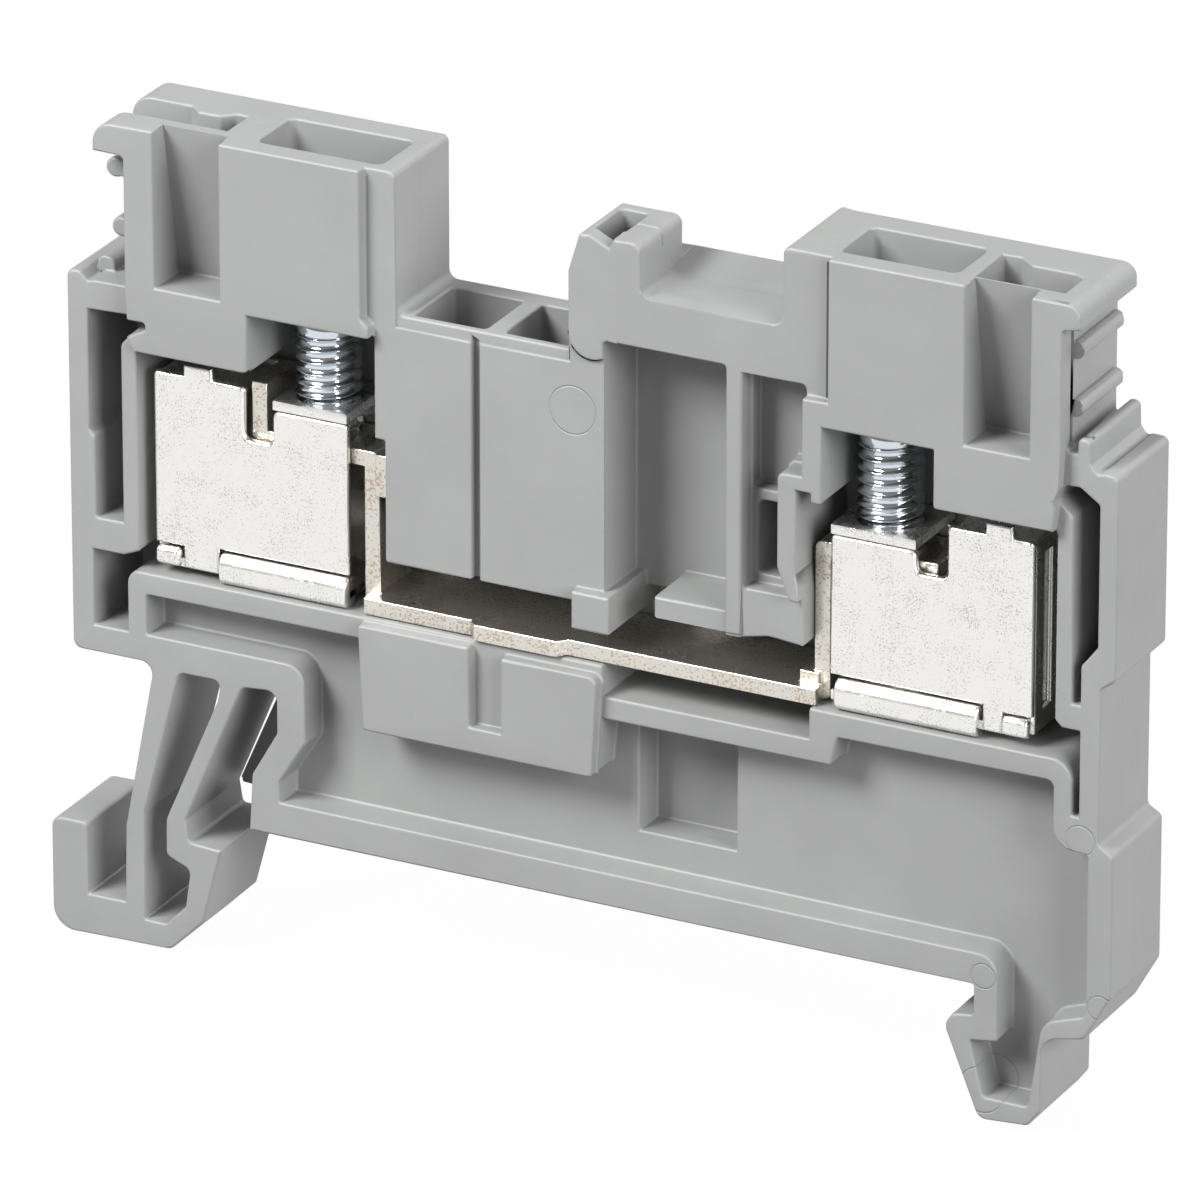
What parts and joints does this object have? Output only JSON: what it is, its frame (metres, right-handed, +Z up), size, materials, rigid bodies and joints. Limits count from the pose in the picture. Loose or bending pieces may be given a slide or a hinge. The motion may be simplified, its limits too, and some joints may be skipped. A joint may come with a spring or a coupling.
{
  "type": "screw terminal block",
  "caption": "Feed-through screw terminal block for a 35 mm mounting rail, with rising clamping cages on a shared current bar.",
  "frame": {"origin": "on the rail seat, midway between the two walls that take the 35 mm rail, and at mid thickness", "axes": "+X along the block, +Y towards the closed back face, +Z up from the rail"},
  "size_m": [0.0474, 0.0052, 0.0359],
  "materials": {
    "grey_polyamide": "moulded, fine matt grain",
    "cage_plating": "satin nickel plating on folded steel",
    "screw_zinc": "bright bluish zinc plating",
    "bar_plating": "tin plated copper with bare sheared edges"
  },
  "bodies": {
    "block": {"housing": "grey_polyamide", "busbar": "bar_plating"},
    "left_clamp": {"left_cage": "cage_plating"},
    "right_clamp": {"right_cage": "cage_plating"},
    "left_driver_screw": {"left_screw": "screw_zinc"},
    "right_driver_screw": {"right_screw": "screw_zinc"}
  },
  "joints": [
    {"name": "left_screw_turn", "type": "hinge", "parent": "block", "child": "left_driver_screw", "pos_m": [-0.01202, 0.0001, 0.02], "axis": [0, 0, -1], "range_deg": [0, 1440]},
    {"name": "right_screw_turn", "type": "hinge", "parent": "block", "child": "right_driver_screw", "pos_m": [0.01282, 0.0001, 0.02], "axis": [0, 0, -1], "range_deg": [0, 1440]},
    {"name": "left_cage_lift", "type": "slide", "parent": "block", "child": "left_clamp", "axis": [0, 0, 1], "range_m": [0, 0.0022]},
    {"name": "right_cage_lift", "type": "slide", "parent": "block", "child": "right_clamp", "axis": [0, 0, 1], "range_m": [0, 0.0022]}
  ],
  "couplings": [
    {"joint": "left_screw_turn", "follows": "left_cage_lift", "rad_per_m": 11424},
    {"joint": "right_screw_turn", "follows": "right_cage_lift", "rad_per_m": 11424}
  ]
}
